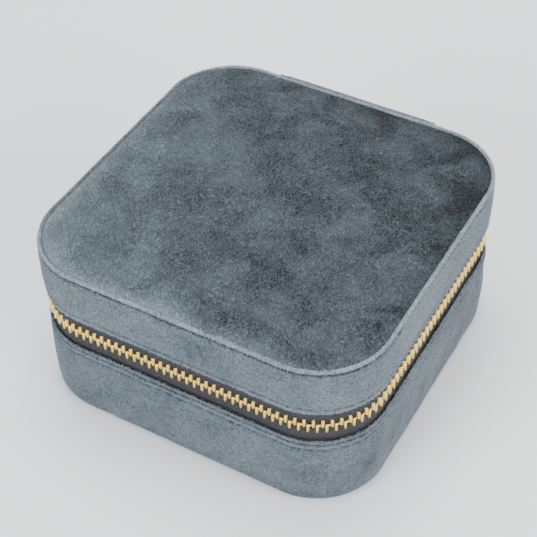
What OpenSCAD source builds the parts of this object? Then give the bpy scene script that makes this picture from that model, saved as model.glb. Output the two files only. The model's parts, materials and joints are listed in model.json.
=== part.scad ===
// Travel jewelry case: a square zip-round box with rounded corners, covered in
// velvet. Base and lid are stiff card trays wrapped in foam and velvet, joined
// by a cloth hinge strip at the back and closed by a metal tooth zip.
// Millimetres. Origin: middle of the bottom face. +Z up, front at -Y, the
// hinge at +Y, the zip slider on the left side at -X.

/* [Case] */
// Width over the velvet, left to right
case_w = 100; // [84:1:150]
// Depth over the velvet, front to back
case_d = 100; // [84:1:150]
// Height of the base, from the table to the middle of the zip
base_h = 30.5; // [25:0.5:60]
// Height of the lid, from the middle of the zip to the rolled rim
lid_h = 20.5; // [17:0.5:50]
// Corner radius seen from above
corner_r = 20; // [16:0.5:30]
// Roundness of the base's bottom edge
foot_r = 2.2; // [1.8:0.1:3]
// Roundness of the rolled rim round the top
rim_r = 1.8; // [1.5:0.1:3]

/* [Layers] */
// Outer velvet with its backing
velvet_t = 0.9; // [0.7:0.05:1.2]
// Thin foam between velvet and card
foam_t = 1.05; // [0.85:0.05:1.5]
// Card of the side walls
wall_board_t = 1.5; // [1.2:0.1:2.5]
// Card of the bottom
bottom_board_t = 2.0; // [1.5:0.1:3]
// Card of the top
top_board_t = 1.6; // [1.2:0.1:3]
// Foam under the top velvet
top_foam_t = 1.0; // [0.8:0.1:3]
// Lining card with its thin velvet, on the walls
lining_t = 1.3; // [1:0.1:2]
// Lining card with its thin velvet, on the floor
floor_lining_t = 1.2; // [1:0.1:2]
// Lining card of the ceiling, behind the mirror
ceiling_t = 1.0; // [0.8:0.1:2]
// Glue line between two layers
glue_gap = 0.05; // [0.02:0.01:0.1]

/* [Zip] */
// Distance between neighbouring teeth of one row
tooth_pitch = 2.27; // [2:0.01:3]
// Width of a tooth along the zip
tooth_w = 0.85; // [0.6:0.01:1]
// Thickness of a tooth through the tape
tooth_t = 2.0; // [1.6:0.1:2.6]
// Height of the two rows together
chain_h = 4.4; // [4:0.1:6]
// How far the two rows reach past each other
mesh_h = 1.0; // [0.6:0.1:1.4]
// Thickness of the tape
tape_t = 0.5; // [0.4:0.05:0.8]
// Tape that shows between the teeth and the lid's velvet
tape_show_lid = 2.8; // [2.4:0.1:4]
// Tape that shows between the teeth and the base's velvet
tape_show_base = 3.7; // [2.4:0.1:5]
// How far the wall card stands past the velvet's edge
board_back = 0.5; // [0:0.1:0.8]
// Tape glued behind the velvet's edge
tape_tuck = 4.5; // [3:0.5:6]
// Distance of the tape's edge from the reach of the opposite row
tape_back = 0.3; // [0.2:0.05:0.4]
// Play of a tooth on the tape
tooth_play = 0.02; // [0.01:0.01:0.04]
// Length of a top stop along the zip
stop_l = 1.2; // [1:0.1:2]
// Height of a top stop
stop_h = 1.9; // [1.7:0.1:2]

/* [Slider] */
// Length along the zip
slider_l = 9; // [7:0.5:12]
// Height across both rows
slider_h = 7; // [6.2:0.1:8]
// Thickness of each plate
slider_plate_t = 0.7; // [0.5:0.05:1]
// Free play round the teeth
slider_play = 0.2; // [0.15:0.05:0.4]
// Slot left for the tape between the side flanges
slider_slot = 0.95; // [0.85:0.05:1.2]
// Distance of the wedge from the slider's back end
wedge_set = 0.3; // [0.2:0.1:0.6]
// Length of the wedge that parts the rows
wedge_l = 2.0; // [1.5:0.1:3]
// Play between the wedge and the tape's edges
wedge_play = 0.12; // [0.08:0.02:0.3]
// Parked place of the slider, from the middle of the left side to the back
slider_park = 22; // [15:0.5:24]
// Length of the crown that holds the pull
crown_l = 6; // [5:0.5:7]
// Width of the crown
crown_w = 1.6; // [1.2:0.1:2.2]
// Thickness of the crown's metal
crown_t = 0.9; // [0.7:0.1:1.2]

/* [Pull] */
// Length from the pull's pivot to its tip
pull_l = 21; // [14:0.5:28]
// Width at the tip
pull_w = 5.6; // [4.8:0.1:7]
// Width at the eye
eye_w = 4.8; // [4.2:0.1:6]
// Thickness of the pull and its crossbar
pull_t = 0.9; // [0.7:0.05:1.1]
// Play of the crossbar under the crown
bar_play = 0.15; // [0.1:0.05:0.3]
// Play between the eye and the crown
eye_play = 0.5; // [0.3:0.1:0.8]

/* [Hinge] */
// Width of the cloth strip on the back
strip_w = 50; // [30:1:56]
// Thickness of the strip
strip_t = 1.05; // [0.8:0.05:1.2]
// Distance of the strip's halves from the fold line
strip_clear = 0.9; // [0.9:0.05:1.5]
// Radius of the fold
fold_r = 0.45; // [0.3:0.05:0.5]
// Margin of the strip to the rounded bottom edge
strip_margin = 1.2; // [0.5:0.1:3]
// Distance of the strip's upper end below the lid's top
strip_top = 0.3; // [0.2:0.1:3]
// Tape end tucked under each side of the strip
tape_under_strip = 3; // [2:0.5:5]
// Thickness of the inner hinge lining
hinge_lining_t = 0.5; // [0.4:0.05:0.8]
// Height of each half of the inner hinge lining
hinge_lining_h = 4.5; // [3:0.5:6]

/* [Inside] */
// Gap between the base's lining and the lid's lining
parting_gap = 0.3; // [0.2:0.05:0.6]
// Length of the ring rolls
roll_l = 31.5; // [24:0.5:40]
// Height of the ring rolls over the floor
roll_h = 20; // [14:0.5:21]
// Gap between neighbouring soft pieces
soft_gap = 0.3; // [0.2:0.05:0.6]
// Thickness of the dividers
divider_t = 2.4; // [2:0.1:3.5]
// Height of the dividers over the floor
divider_h = 21.5; // [14:0.5:22]
// Share of the depth taken by the middle compartment
middle_share = 0.333; // [0.25:0.001:0.45]

/* [Mirror] */
// Side of the square mirror
mirror_w = 72; // [50:1:74]
// Corner radius of the mirror
mirror_r = 9; // [5:0.5:12]
// Thickness of the mirror
mirror_t = 1.5; // [1:0.1:2.5]
// Part of the mirror that the frame covers on each side
mirror_lap = 2; // [1:0.5:4]
// Thickness of the frame's lip over the mirror
mirror_lip_t = 0.7; // [0.5:0.1:1.5]
// Play of the mirror in its frame
mirror_play = 0.15; // [0.1:0.05:0.4]

/* [Hidden] */
$fn = 96;

// Colours
velvet = "#74828c";
lining = "#7f8c96";
foam = "#d9d4c6";
card = "#8a8378";
tape = "#4b4d50";
gold = "#d8bc78";
glass = "#c9d6dc";

// Depths of the layers, measured inwards from the outer velvet face
tape_in = velvet_t + glue_gap;
foam_in = velvet_t + glue_gap;
board_in = foam_in + foam_t + glue_gap;
lining_in = board_in + wall_board_t + glue_gap;
room_in = lining_in + lining_t;
zip_in = tape_in + tape_t / 2;

// Heights
case_h = base_h + lid_h;
row_h = (chain_h + mesh_h) / 2;
base_velvet_top = base_h - chain_h / 2 - tape_show_base;
lid_velvet_low = base_h + chain_h / 2 + tape_show_lid;
bottom_board_z = velvet_t + glue_gap;
floor_z = bottom_board_z + bottom_board_t + glue_gap;
room_z = floor_z + floor_lining_t;
top_panel_low = case_h - velvet_t;
top_foam_low = top_panel_low - glue_gap - top_foam_t;
top_board_low = top_foam_low - glue_gap - top_board_t;
ceiling_low = top_board_low - glue_gap - ceiling_t;
frame_top = ceiling_low - glue_gap;
mirror_low = frame_top - mirror_t;
frame_low = mirror_low - glue_gap - mirror_lip_t;

// Straight runs between the corners, and the zip's path round them
run_w = case_w - 2 * corner_r;
run_d = case_d - 2 * corner_r;
zip_r = corner_r - zip_in;
corner_l = PI / 2 * zip_r;
slot_depth = row_h - mesh_h - tape_back;
tape_edge = row_h - mesh_h / 2 - slot_depth + tooth_play;
slider_back = run_d / 2 - slider_park - slider_l / 2;
teeth_start = slider_back + wedge_set + wedge_l + 2 * slider_play + tooth_w / 2;
teeth_end = 3 * corner_l + 2 * run_d + run_w + (run_w - strip_w) / 2;
teeth_count = floor((teeth_end - teeth_start) / tooth_pitch);
left_count = floor((run_d - teeth_start) / tooth_pitch);
stop_start = slider_back - slider_play - stop_l;

// Slider, measured outwards from the middle plane of the teeth
channel_half = tooth_t / 2 + slider_play;
slider_out = channel_half + slider_plate_t;
wedge_h = 2 * (tape_edge - wedge_play);
bar_out = slider_out + bar_play + pull_t / 2;
window_h = pull_t + 2 * bar_play;
bar_x = -case_w / 2 + zip_in - bar_out;

// Hinge
hinge_y = case_d / 2 + glue_gap + strip_t / 2;

// Room inside
room_w = case_w - 2 * room_in;
room_d = case_d - 2 * room_in;
roll_pitch = (room_d - soft_gap) / 7;
roll_w = roll_pitch - soft_gap;
rolls_x = -room_w / 2 + soft_gap;
divider_x = rolls_x + roll_l + soft_gap;
bays_x = divider_x + divider_t + glue_gap;
middle_half = room_d * middle_share / 2;

// Travel of the slider, kept on the straight run of the left side
slider_travel = slider_park + run_d / 2 - slider_l / 2 - 1.5;
echo(slider_travel = slider_travel, hinge_y = hinge_y, bar_x = bar_x, room_z = room_z,
    frame_low = frame_low, teeth_count = teeth_count, left_count = left_count);

// Outline of the case seen from above, moved inwards by depth
module outline(depth) {
    r = corner_r - depth;
    square([case_w - 2 * depth, run_d], center = true);
    square([run_w, case_d - 2 * depth], center = true);
    for (x = [-1, 1], y = [-1, 1])
        translate([x * run_w / 2, y * run_d / 2]) circle(r);
}

// Wall that follows the outline between two depths and two heights
module wall(depth, thick, low, high) {
    translate([0, 0, low]) linear_extrude(high - low)
        difference() {
            outline(depth);
            outline(depth + thick);
        }
}

// Flat plate that follows the outline
module plate(depth, low, thick) {
    translate([0, 0, low]) linear_extrude(thick) outline(depth);
}

// Carries a section round the case. The section's x is the depth inwards from
// the outer face and its y is the height.
module around() {
    for (side = [0 : 3]) {
        reach = side % 2 == 0 ? case_w / 2 : case_d / 2;
        run = side % 2 == 0 ? run_d : run_w;
        rotate(90 * side) {
            translate([reach, run / 2, 0]) rotate([90, 0, 0])
                linear_extrude(run) mirror([1, 0]) children();
            translate([reach - corner_r, run / 2, 0]) rotate_extrude(angle = 90)
                translate([corner_r, 0]) mirror([1, 0]) children();
        }
    }
}

// Section of a velvet band: a wall whose one end rolls inwards round an edge
module band_section(edge_r, straight) {
    translate([0, edge_r]) square([velvet_t, straight]);
    translate([edge_r, edge_r]) difference() {
        intersection() {
            circle(edge_r);
            translate([-edge_r, -edge_r]) square(edge_r);
        }
        circle(edge_r - velvet_t);
    }
}

// Square with round corners
module round_square(side, r) {
    square([side, side - 2 * r], center = true);
    square([side - 2 * r, side], center = true);
    for (x = [-1, 1], y = [-1, 1])
        translate([x, y] * (side / 2 - r)) circle(r);
}

// Rectangle with round corners
module round_rect(w, h, r) {
    square([w, h - 2 * r], center = true);
    square([w - 2 * r, h], center = true);
    for (x = [-1, 1], y = [-1, 1])
        translate([x * (w / 2 - r), y * (h / 2 - r)]) circle(r);
}

// ---- zip ----

// Where the zip's path stands after a distance along it: [x, y, outward angle].
// The path starts at the back end of the left side's straight run and goes by
// the front, the right side and the back.
function run_of(side) = side % 2 == 0 ? run_d : run_w;
function reach_of(side) = (side % 2 == 0 ? case_w : case_d) / 2 - zip_in;
function heading(angle) = [cos(angle), sin(angle)];
function path(dist, side = 0) =
    let (out = 180 + 90 * side, run = run_of(side))
    dist <= run ? on_run(dist, out, run, reach_of(side)) :
    dist <= run + corner_l ? on_corner((dist - run) / corner_l * 90, out, run, reach_of(side)) :
    path(dist - run - corner_l, side + 1);
function on_run(dist, out, run, reach) =
    let (p = reach * heading(out) + (dist - run / 2) * heading(out + 90))
    [p.x, p.y, out];
function on_corner(turn, out, run, reach) =
    let (p = (reach - zip_r) * heading(out) + run / 2 * heading(out + 90) + zip_r * heading(out + turn))
    [p.x, p.y, out + turn];

// One tooth: a clamp with its two legs round the edge of the tape, legs down
module tooth() {
    translate([0, 0, mesh_h / 2 - row_h / 2]) difference() {
        cube([tooth_t, tooth_w, row_h], center = true);
        translate([0, 0, -row_h / 2]) cube([tape_t + 2 * tooth_play, 2 * tooth_w, 2 * slot_depth], center = true);
    }
}

// Teeth number first to last; up is 1 for the base's row and -1 for the lid's
module teeth(first, last, up) {
    shift = up > 0 ? 0 : 0.5;
    color(gold) for (i = [first : last]) {
        p = path(teeth_start + (i + shift) * tooth_pitch);
        translate([p[0], p[1], base_h]) rotate(p[2])
            mirror([0, 0, up > 0 ? 0 : 1]) tooth();
    }
}

// Tape of one row, with its ends under the hinge strip
module zip_tape(low, high) {
    color(tape) difference() {
        wall(tape_in, tape_t, low, high);
        translate([-strip_w / 2 + tape_under_strip, case_d / 4, low - 1])
            cube([strip_w - 2 * tape_under_strip, case_d / 2, high - low + 2]);
    }
}

// Clip that ends one row
module zip_stop(up) {
    p = path(stop_start + stop_l / 2);
    color(gold) translate([p[0], p[1], base_h]) rotate(p[2]) mirror([0, 0, up > 0 ? 0 : 1])
        translate([0, 0, -chain_h / 2 + stop_h / 2]) difference() {
            cube([tooth_t, stop_l, stop_h], center = true);
            translate([0, 0, -stop_h / 2])
                cube([tape_t + 2 * tooth_play, 2 * stop_l, 2 * slot_depth], center = true);
        }
}

module base_zip_tape() zip_tape(base_velvet_top - tape_tuck, base_h - tape_edge);
module lid_zip_tape() zip_tape(base_h + tape_edge, lid_velvet_low + tape_tuck);
module base_zip_teeth() teeth(left_count, teeth_count - 1, 1);
module base_zip_teeth_left() teeth(0, left_count - 1, 1);
module lid_zip_teeth() teeth(left_count, teeth_count - 1, -1);
module lid_zip_teeth_left() teeth(0, left_count - 1, -1);
module base_zip_stop() zip_stop(1);
module lid_zip_stop() zip_stop(-1);

// ---- base ----

module base_velvet_band() {
    color(velvet) around() band_section(foot_r, base_velvet_top - foot_r);
}

module base_bottom_panel() {
    color(velvet) plate(foot_r + glue_gap, 0, velvet_t);
}

// Foam round the walls, thinner where the zip tape lies on it
module wall_foam(low, high, tape_low, tape_high) {
    color(foam) difference() {
        wall(foam_in, foam_t, low, high);
        wall(foam_in - 1, tape_t + glue_gap + 1, tape_low - glue_gap, tape_high + glue_gap);
    }
}

module base_foam_wrap() {
    wall_foam(foot_r + glue_gap, base_velvet_top, base_velvet_top - tape_tuck, base_h);
}

module base_bottom_board() {
    color(card) plate(foot_r + glue_gap, bottom_board_z, bottom_board_t);
}

module base_wall_board() {
    color(card) wall(board_in, wall_board_t, floor_z, base_velvet_top + board_back);
}

module base_lining_wall() {
    color(lining) wall(lining_in, lining_t, floor_z, base_h - parting_gap / 2);
}

module base_floor_lining() {
    color(lining) plate(room_in + glue_gap, floor_z, floor_lining_t);
}

// ---- hinge ----

// Straight strip on the back wall, between two depths and two heights
module back_strip(depth, thick, low, high) {
    translate([-strip_w / 2, case_d / 2 - depth - thick, low]) cube([strip_w, thick, high - low]);
}

module hinge_strip_lower() {
    color(velvet) back_strip(-glue_gap - strip_t, strip_t, foot_r + strip_margin, base_h - strip_clear);
}

module hinge_strip_upper() {
    color(velvet) back_strip(-glue_gap - strip_t, strip_t, base_h + strip_clear, case_h - strip_top);
}

module hinge_fold() {
    color(velvet) translate([-strip_w / 2, hinge_y, base_h]) rotate([0, 90, 0]) cylinder(h = strip_w, r = fold_r);
}

module hinge_lining_lower() {
    color(lining) back_strip(room_in + glue_gap, hinge_lining_t, base_h - parting_gap / 2 - hinge_lining_h,
        base_h - parting_gap / 2);
}

module hinge_lining_upper() {
    color(lining) back_strip(room_in + glue_gap, hinge_lining_t, base_h + parting_gap / 2,
        base_h + parting_gap / 2 + hinge_lining_h);
}

// ---- inside of the base ----

// One ring roll: a padded block with a round top, cut to the room's corners
module ring_roll(number) {
    r = roll_w / 2;
    y = -room_d / 2 + soft_gap + r + (number - 1) * roll_pitch;
    color(lining) intersection() {
        translate([rolls_x, y, room_z + glue_gap]) rotate([90, 0, 90]) linear_extrude(roll_l) {
            translate([-r, 0]) square([roll_w, roll_h - r]);
            translate([0, roll_h - r]) circle(r);
        }
        plate(room_in + hinge_lining_t + soft_gap, 0, case_h);
    }
}

module ring_roll_1() ring_roll(1);
module ring_roll_2() ring_roll(2);
module ring_roll_3() ring_roll(3);
module ring_roll_4() ring_roll(4);
module ring_roll_5() ring_roll(5);
module ring_roll_6() ring_roll(6);
module ring_roll_7() ring_roll(7);

// Divider board with a round top edge, from its middle plane
module divider(length) {
    r = divider_t / 2;
    rotate([90, 0, 90]) linear_extrude(length) {
        translate([-r, 0]) square([divider_t, divider_h - r]);
        translate([0, divider_h - r]) circle(r);
    }
}

module long_divider() {
    color(lining) translate([divider_x + divider_t / 2, -room_d / 2 + glue_gap, room_z + glue_gap])
        rotate(90) divider(room_d - 3 * glue_gap - hinge_lining_t);
}

module cross_divider(y) {
    color(lining) translate([bays_x, y, room_z + glue_gap]) divider(room_w / 2 - glue_gap - bays_x);
}

module cross_divider_front() cross_divider(-middle_half);
module cross_divider_rear() cross_divider(middle_half);

// ---- lid ----

module lid_velvet_band() {
    color(velvet) translate([0, 0, case_h]) mirror([0, 0, 1]) around()
        band_section(rim_r, lid_h - rim_r - lid_velvet_low + base_h);
}

module lid_top_panel() {
    color(velvet) plate(rim_r + glue_gap, top_panel_low, velvet_t);
}

module lid_top_foam() {
    color(foam) plate(board_in, top_foam_low, top_foam_t);
}

module lid_top_board() {
    color(card) plate(board_in, top_board_low, top_board_t);
}

module lid_foam_wrap() {
    wall_foam(lid_velvet_low, top_board_low, base_h, lid_velvet_low + tape_tuck);
}

module lid_wall_board() {
    color(card) wall(board_in, wall_board_t, lid_velvet_low - board_back, top_board_low - glue_gap);
}

module lid_lining_wall() {
    color(lining) wall(lining_in, lining_t, base_h + parting_gap / 2, top_board_low - glue_gap);
}

module lid_ceiling_lining() {
    color(lining) plate(room_in + glue_gap, ceiling_low, ceiling_t);
}

module mirror_glass() {
    color(glass) translate([0, 0, mirror_low]) linear_extrude(mirror_t) round_square(mirror_w, mirror_r);
}

// Padded frame: a pocket for the mirror and a lip that laps over its edge
module mirror_frame() {
    pocket = mirror_w + 2 * mirror_play;
    window = mirror_w - 2 * mirror_lap;
    color(lining) difference() {
        plate(room_in + glue_gap, frame_low, frame_top - frame_low);
        translate([0, 0, mirror_low - glue_gap]) linear_extrude(case_h) round_square(pocket, mirror_r + mirror_play);
        translate([0, 0, frame_low - 1]) linear_extrude(case_h) round_square(window, mirror_r - mirror_lap);
    }
}

// ---- slider and pull ----

// Puts its children at the slider: +X outwards from the teeth's middle plane,
// +Y towards the front of the case, +Z up
module at_slider() {
    translate([-case_w / 2 + zip_in, slider_park, base_h]) rotate(180) children();
}

// One half of the slider: a plate with its two flanges, side is 1 outwards
module slider_half(side) {
    flange_h = (slider_h - chain_h) / 2 - slider_play;
    flange_t = channel_half - slider_slot / 2;
    mirror([side > 0 ? 0 : 1, 0, 0]) {
        translate([channel_half, 0, 0]) rotate([90, 0, 90]) linear_extrude(slider_plate_t)
            round_rect(slider_l, slider_h, 1.6);
        for (up = [-1, 1])
            translate([slider_slot / 2, -slider_l / 2 + 1.6, up * (slider_h - flange_h) / 2 - flange_h / 2])
                cube([flange_t, slider_l - 3.2, flange_h]);
    }
}

module slider_body() {
    color(gold) at_slider() {
        slider_half(1);
        slider_half(-1);
        translate([-channel_half, -slider_l / 2 + wedge_set, -wedge_h / 2]) cube([2 * channel_half, wedge_l, wedge_h]);
    }
}

// Crown: an arch over the pull's crossbar
module slider_crown() {
    color(gold) at_slider() translate([slider_out, 0, -crown_w / 2]) linear_extrude(crown_w)
        difference() {
            union() {
                translate([0, -crown_l / 2]) square([window_h, crown_l]);
                translate([0, -crown_l / 2 + crown_t]) square([window_h + crown_t, crown_l - 2 * crown_t]);
                for (end = [-1, 1])
                    translate([window_h, end * (crown_l / 2 - crown_t)]) circle(crown_t);
            }
            translate([-1, -crown_l / 2 + crown_t]) square([window_h + 1, crown_l - 2 * crown_t]);
        }
}

// Pull: a flat tab with an eye round the crown; its crossbar is the pivot
module pull_tab() {
    eye_in = crown_w + 2 * eye_play;
    eye_l = crown_l / 2 + crown_t + eye_play;
    tip = pull_l - pull_w / 2;
    color(gold) at_slider() {
        translate([bar_out, 0, -eye_w / 2]) cylinder(h = eye_w, r = pull_t / 2, $fn = 32);
        translate([bar_out - pull_t / 2, 0, 0]) rotate([90, 0, 90]) linear_extrude(pull_t)
            difference() {
                union() {
                    translate([0, -eye_w / 2]) square([eye_l + 1, eye_w]);
                    polygon([[eye_l, -eye_w / 2], [tip, -pull_w / 2], [tip, pull_w / 2], [eye_l, eye_w / 2]]);
                    translate([tip, 0]) circle(pull_w / 2);
                }
                translate([-1, -eye_in / 2]) square([eye_l + 1, eye_in]);
            }
    }
}

base_bottom_panel();
base_velvet_band();
base_foam_wrap();
base_bottom_board();
base_wall_board();
base_lining_wall();
base_floor_lining();
base_zip_tape();
base_zip_teeth();
base_zip_teeth_left();
base_zip_stop();
hinge_strip_lower();
hinge_fold();
hinge_lining_lower();
ring_roll_1();
ring_roll_2();
ring_roll_3();
ring_roll_4();
ring_roll_5();
ring_roll_6();
ring_roll_7();
long_divider();
cross_divider_front();
cross_divider_rear();
lid_top_panel();
lid_velvet_band();
lid_top_foam();
lid_foam_wrap();
lid_top_board();
lid_wall_board();
lid_lining_wall();
lid_ceiling_lining();
mirror_frame();
mirror_glass();
lid_zip_tape();
lid_zip_teeth();
lid_zip_teeth_left();
lid_zip_stop();
hinge_strip_upper();
hinge_lining_upper();
slider_body();
slider_crown();
pull_tab();
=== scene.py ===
import json
import math

import bmesh
import bpy
import numpy as np
from mathutils import Matrix, Vector


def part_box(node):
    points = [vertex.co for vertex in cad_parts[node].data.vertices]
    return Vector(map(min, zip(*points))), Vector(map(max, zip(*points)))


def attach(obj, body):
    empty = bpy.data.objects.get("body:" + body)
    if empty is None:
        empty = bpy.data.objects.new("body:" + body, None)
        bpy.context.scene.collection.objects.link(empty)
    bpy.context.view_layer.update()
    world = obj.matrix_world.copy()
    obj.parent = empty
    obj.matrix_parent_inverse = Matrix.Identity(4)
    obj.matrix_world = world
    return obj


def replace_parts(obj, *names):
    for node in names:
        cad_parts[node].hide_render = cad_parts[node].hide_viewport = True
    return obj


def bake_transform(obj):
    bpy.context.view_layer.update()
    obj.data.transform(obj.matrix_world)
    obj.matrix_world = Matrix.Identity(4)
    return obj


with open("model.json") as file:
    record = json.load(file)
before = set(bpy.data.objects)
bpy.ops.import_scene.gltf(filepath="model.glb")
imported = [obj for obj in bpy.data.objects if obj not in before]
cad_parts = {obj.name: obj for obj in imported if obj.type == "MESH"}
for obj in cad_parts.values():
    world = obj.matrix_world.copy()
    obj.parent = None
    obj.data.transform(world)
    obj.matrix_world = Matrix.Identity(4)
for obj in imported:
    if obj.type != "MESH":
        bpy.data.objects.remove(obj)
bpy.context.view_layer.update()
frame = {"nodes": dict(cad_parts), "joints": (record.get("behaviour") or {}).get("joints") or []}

# Travel jewelry case in slate velvet. Lengths below are in millimetres, in the
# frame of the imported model, and become metres when a mesh is made.

MM = 0.001
TAU = 2 * math.pi


def cad(node):
    """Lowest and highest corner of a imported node, in millimetres."""
    low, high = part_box(node)
    return np.array(low) / MM, np.array(high) / MM


# ---- sizes

HALF_W, HALF_D, BASE_HEM = cad("base_velvet_band")[1]
LID_HEM, TOP = (corner[2] for corner in cad("lid_velvet_band"))
CORNER_R = 20.0

LINING_IN = HALF_W - cad("base_lining_wall")[1][0]
ROOM_IN = HALF_W - cad("base_floor_lining")[1][0]

HINGE = next(j for j in frame["joints"] if j["name"] == "lid_hinge")
HINGE_Y, ZIP_Z = HINGE["pos_m"][1] / MM, HINGE["pos_m"][2] / MM

TOOTH_PITCH = 2.27
TOOTH_W = 0.85
TEETH_LOW = cad("base_zip_teeth")[0][2]
TEETH_HIGH = cad("lid_zip_teeth")[1][2]
left_low, left_high = cad("base_zip_teeth_left")
TEETH_IN = HALF_W + (left_low[0] + left_high[0]) / 2
FIRST_TOOTH_Y = left_high[1] - TOOTH_W / 2
LEFT_TEETH = round((left_high[1] - left_low[1] - TOOTH_W) / TOOTH_PITCH) + 1

STITCHES = 118
STITCH_LENGTH = 2.35


# ---- outline

def heading(angle):
    """Unit vectors at angles given in radians."""
    return np.stack([np.cos(angle), np.sin(angle)], axis=-1)


def on_outline(distance, depth=0.0):
    """Follows the case's outline, moved inwards by depth, for a distance from the back end of the left
    side's straight run, by the front and the right side. Each side is a straight run and then a quarter
    circle: the place is the corner circle's centre, slid along the run, plus the radius times the outward
    normal. Returns those centres and normals; a point at another depth is centre + (CORNER_R - depth) *
    normal."""
    distance = np.asarray(distance, dtype=float)
    radius = CORNER_R - depth
    runs = 2 * (np.array([HALF_D, HALF_W, HALF_D, HALF_W]) - CORNER_R)
    half = np.array([HALF_W, HALF_D, HALF_W, HALF_D]) - CORNER_R
    lengths = runs + radius * math.pi / 2
    total = lengths.sum()
    along = np.mod(distance, total)
    starts = np.concatenate([[0], np.cumsum(lengths)])
    side = np.clip(np.searchsorted(starts, along, side="right") - 1, 0, 3)
    rest = along - starts[side]
    outward = math.pi + side * math.pi / 2
    slide = np.clip(rest, 0, runs[side]) - runs[side] / 2
    turn = np.clip((rest - runs[side]) / radius, 0, math.pi / 2)
    centre = heading(outward) * half[side][..., None] + heading(outward + math.pi / 2) * slide[..., None]
    return centre, heading(outward + turn)


def outline_length():
    """Four straight runs and a whole circle of the corner radius."""
    return 4 * (HALF_W + HALF_D - 2 * CORNER_R) + TAU * CORNER_R


STITCH_PITCH = outline_length() / STITCHES
BACK_MIDDLE = -(CORNER_R * math.pi / 2 + HALF_W - CORNER_R)


def at(x, y, z):
    """Points from their three coordinates, each spread over the grid they share."""
    return np.stack(np.broadcast_arrays(x, y, z), axis=-1)


def on_wall(distance, depth, height):
    """Points by their distance along the outline, depth in from it and height, spread over the grid they
    share."""
    distance, depth, height = np.broadcast_arrays(distance, depth, height)
    centre, normal = on_outline(distance)
    flat = centre + (CORNER_R - depth)[..., None] * normal
    return at(flat[..., 0], flat[..., 1], height)


def edge_distance(x, y, depth):
    """How far a point lies inside the outline moved inwards by depth, negative outside: the rounded box's
    signed distance, which is the corner radius less the distance from the inner rectangle."""
    qx = np.abs(x) - (HALF_W - CORNER_R)
    qy = np.abs(y) - (HALF_D - CORNER_R)
    outside = np.hypot(np.maximum(qx, 0), np.maximum(qy, 0))
    return CORNER_R - depth - outside - np.minimum(np.maximum(qx, qy), 0)


def edge_travel(x, y):
    """Distance along the outline of the outline's point nearest to (x, y), counted as on_outline counts
    it."""
    half_x, half_y = HALF_W - CORNER_R, HALF_D - CORNER_R
    qx, qy = np.abs(x) - half_x, np.abs(y) - half_y
    quarter = CORNER_R * math.pi / 2
    sides = [2 * half_y, 2 * half_x, 2 * half_y, 2 * half_x]
    starts = np.concatenate([[0], np.cumsum([s + quarter for s in sides])])
    angle = np.mod(np.arctan2(np.sign(y) * np.maximum(qy, 0), np.sign(x) * np.maximum(qx, 0)) - math.pi, TAU)
    corner = (qx > 0) & (qy > 0)
    nearest = np.where(qx > qy, np.where(x < 0, 0, 2), np.where(y < 0, 1, 3))
    slide = np.choose(nearest, [half_y - y, x + half_x, y + half_y, half_x - x])
    straight = starts[nearest] + slide
    number = np.clip((angle // (math.pi / 2)).astype(int), 0, 3)
    bend = starts[number] + np.array(sides)[number] + (angle - number * math.pi / 2) * CORNER_R
    return np.where(corner, bend, straight)


# ---- meshes

def smooth_noise(x, y, seed, size, waves=7):
    """Soft unevenness from -1 to 1: the mean of plane waves of about the given size in seeded
    directions."""
    draw = np.random.default_rng(seed)
    angle = draw.uniform(0, TAU, waves)
    length = size * draw.uniform(0.6, 1.7, waves)
    phase = draw.uniform(0, TAU, waves)
    total = 0
    for a, l, p in zip(angle, length, phase):
        total = total + np.sin((x * math.cos(a) + y * math.sin(a)) * TAU / l + p)
    return total / waves ** 0.5 / 1.4


def rounded(points, radii, spacing=0.4, closed=False):
    """A path of straight stretches whose corners are arcs: at each corner the arc starts and ends where the
    radius' tangent points lie on the two stretches. Returned at an even spacing."""
    points = np.array(points, dtype=float)
    count = len(points)
    path = []
    for i in range(count):
        here, radius = points[i], radii[i]
        if radius <= 0 or (not closed and i in (0, count - 1)):
            path.append(here[None])
            continue
        back = points[i - 1] - here
        ahead = points[(i + 1) % count] - here
        back, ahead = back / np.linalg.norm(back), ahead / np.linalg.norm(ahead)
        half = math.acos(float(np.clip(back @ ahead, -1, 1))) / 2
        reach = radius / math.tan(half)
        middle = here + (back + ahead) / np.linalg.norm(back + ahead) * radius / math.sin(half)
        first, last = here + back * reach - middle, here + ahead * reach - middle
        start = math.atan2(first[1], first[0])
        sweep = (math.atan2(last[1], last[0]) - start + math.pi) % TAU - math.pi
        steps = max(3, int(abs(sweep) * radius / spacing) + 2)
        path.append(middle + radius * heading(start + sweep * np.linspace(0, 1, steps)))
    path = np.concatenate(path)
    if closed:
        path = np.concatenate([path, path[:1]])
    gap = np.linalg.norm(np.diff(path, axis=0), axis=1)
    keep = np.concatenate([[True], gap > 1e-6])
    path, gap = path[keep], gap[gap > 1e-6]
    travel = np.concatenate([[0], np.cumsum(gap)])
    even = np.linspace(0, travel[-1], max(4, int(travel[-1] / spacing) + 1))
    out = np.stack([np.interp(even, travel, path[:, k]) for k in range(2)], axis=-1)
    return out[:-1] if closed else out


def travel_along(path):
    """Distance of each point of a path from its first."""
    return np.concatenate([[0], np.cumsum(np.linalg.norm(np.diff(path, axis=0), axis=-1))])


def boxed(first, second, low, high, radii, spacing):
    """A closed section: an upright rectangle from first to second and low to high, its corners rounded, in
    the order first high, first low, second low, second high."""
    return rounded([(first, high), (first, low), (second, low), (second, high)], radii, spacing, closed=True)


def girth(section):
    """Distance of each point of a closed section from its first, with the whole way round at the end."""
    return travel_along(np.concatenate([section, section[:1]]))


def superellipse(angle, power):
    """A circle pushed out towards a square: cosine and sine, over the root of the sum of their powers."""
    c, s = np.cos(angle), np.sin(angle)
    push = (np.abs(c) ** power + np.abs(s) ** power) ** (-1 / power)
    return c * push, s * push


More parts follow.
